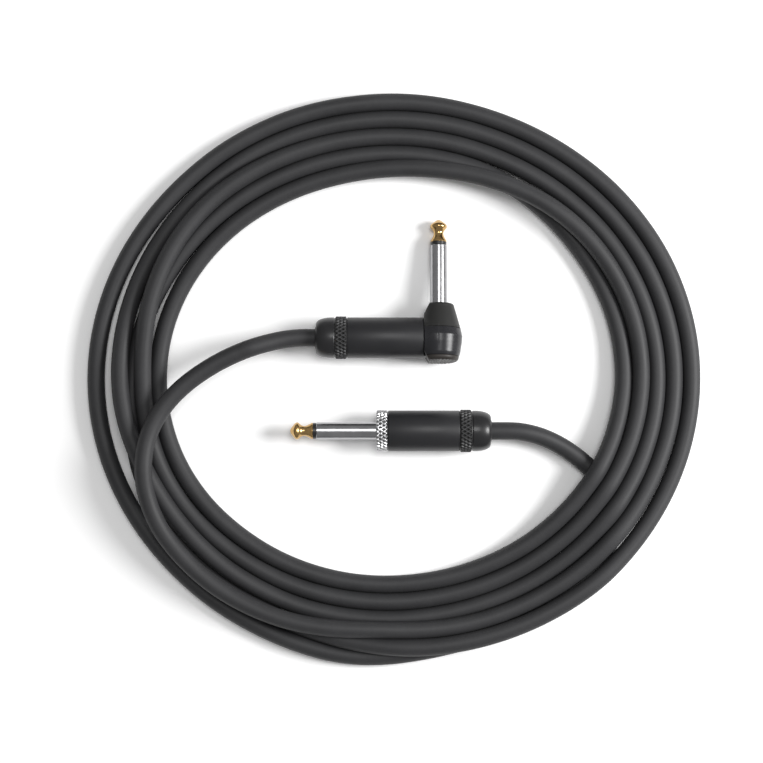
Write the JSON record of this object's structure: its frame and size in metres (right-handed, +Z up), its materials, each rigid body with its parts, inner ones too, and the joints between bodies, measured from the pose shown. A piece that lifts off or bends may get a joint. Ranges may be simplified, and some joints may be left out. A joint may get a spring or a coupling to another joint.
{
  "type": "instrument cable",
  "caption": "Coiled instrument cable with a straight and a right-angle quarter inch plug, unscrewing gland nuts and barrel.",
  "frame": {"origin": "bottom centre of the box that holds the two plugs, on the surface the cable lies on", "axes": "+Z up from the surface; -X is where the straight plug's pin points, and the right-angle plug's pin points to +Y and slightly down"},
  "size_m": [0.2256, 0.2104, 0.0201],
  "materials": {
    "gold": "polished gold plating on brass",
    "ring_black": "black moulded nylon",
    "nickel": "bright nickel plating",
    "insulation": "natural nylon tube",
    "collar_chrome": "bright plated, diamond knurl",
    "lug_brass": "tinned brass sheet",
    "fibre_washer": "vulcanised fibre",
    "core_insulation": "polythene core insulation",
    "shield_copper": "twisted bare copper shield",
    "solder_tin": "solder",
    "liner_plastic": "insulating liner",
    "barrel_black": "satin black, cast zinc",
    "chuck_plastic": "acetal collet",
    "nut_black": "black, knurled ring and glossy dome",
    "grommet_rubber": "soft black rubber",
    "heel_plastic": "dark moulded plastic, ribbed",
    "cable_jacket": "dark grey soft PVC jacket"
  },
  "bodies": {
    "root": {"straight_tip": "gold", "straight_tip_ring": "ring_black", "straight_sleeve": "nickel", "straight_core_tube": "insulation", "straight_collar": "collar_chrome", "straight_ground_lug": "lug_brass", "straight_lug_washer": "fibre_washer", "straight_tip_lug": "lug_brass", "straight_core_wire": "core_insulation", "straight_shield": "shield_copper", "straight_solder": "solder_tin", "angle_tip": "gold", "angle_tip_ring": "ring_black", "angle_sleeve": "nickel", "angle_core_tube": "insulation", "angle_nose": "barrel_black", "angle_housing": "barrel_black", "angle_ground_lug": "lug_brass", "angle_lug_washer": "fibre_washer", "angle_tip_lug": "lug_brass", "angle_core_wire": "core_insulation", "angle_shield": "shield_copper", "angle_solder": "solder_tin", "angle_liner": "liner_plastic", "angle_barrel": "barrel_black", "cable_coil": "cable_jacket", "cable_lead_straight": "cable_jacket", "cable_lead_angle": "cable_jacket"},
    "straight_liner_slide": {"straight_liner": "liner_plastic"},
    "straight_barrel_turn": {"straight_barrel": "barrel_black"},
    "straight_chuck_slide": {"straight_chuck": "chuck_plastic"},
    "straight_nut_turn": {"straight_nut": "nut_black", "straight_grommet": "grommet_rubber"},
    "angle_chuck_slide": {"angle_chuck": "chuck_plastic"},
    "angle_nut_turn": {"angle_nut": "nut_black", "angle_grommet": "grommet_rubber"},
    "angle_heel_cap": {"angle_heel_cap": "heel_plastic"}
  },
  "joints": [
    {"name": "straight_liner_slide", "type": "slide", "parent": "root", "child": "straight_liner_slide", "axis": [1, 0, 0], "range_m": [0, 0.005]},
    {"name": "straight_barrel_turn", "type": "hinge", "parent": "straight_liner_slide", "child": "straight_barrel_turn", "pos_m": [0, -0.03526, 0.00785], "axis": [-1, 0, 0], "range_deg": [0, 1800]},
    {"name": "straight_chuck_slide", "type": "slide", "parent": "straight_barrel_turn", "child": "straight_chuck_slide", "axis": [1, 0, 0], "range_m": [0, 0.003]},
    {"name": "straight_nut_turn", "type": "hinge", "parent": "straight_chuck_slide", "child": "straight_nut_turn", "pos_m": [0, -0.03526, 0.00785], "axis": [-1, 0, 0], "range_deg": [0, 1080]},
    {"name": "angle_chuck_slide", "type": "slide", "parent": "root", "child": "angle_chuck_slide", "axis": [-1, 0, 0], "range_m": [0, 0.003]},
    {"name": "angle_nut_turn", "type": "hinge", "parent": "angle_chuck_slide", "child": "angle_nut_turn", "pos_m": [0, -0.00085, 0.0087], "axis": [1, 0, 0], "range_deg": [0, 1080]},
    {"name": "angle_heel_cap_slide", "type": "slide", "parent": "root", "child": "angle_heel_cap", "axis": [0, -0.9912, 0.1323], "range_m": [0, 0.006]}
  ],
  "couplings": [
    {"joint": "straight_barrel_turn", "follows": "straight_liner_slide", "rad_per_m": 6283.2},
    {"joint": "straight_nut_turn", "follows": "straight_chuck_slide", "rad_per_m": 6283.2},
    {"joint": "angle_nut_turn", "follows": "angle_chuck_slide", "rad_per_m": 6283.2}
  ]
}
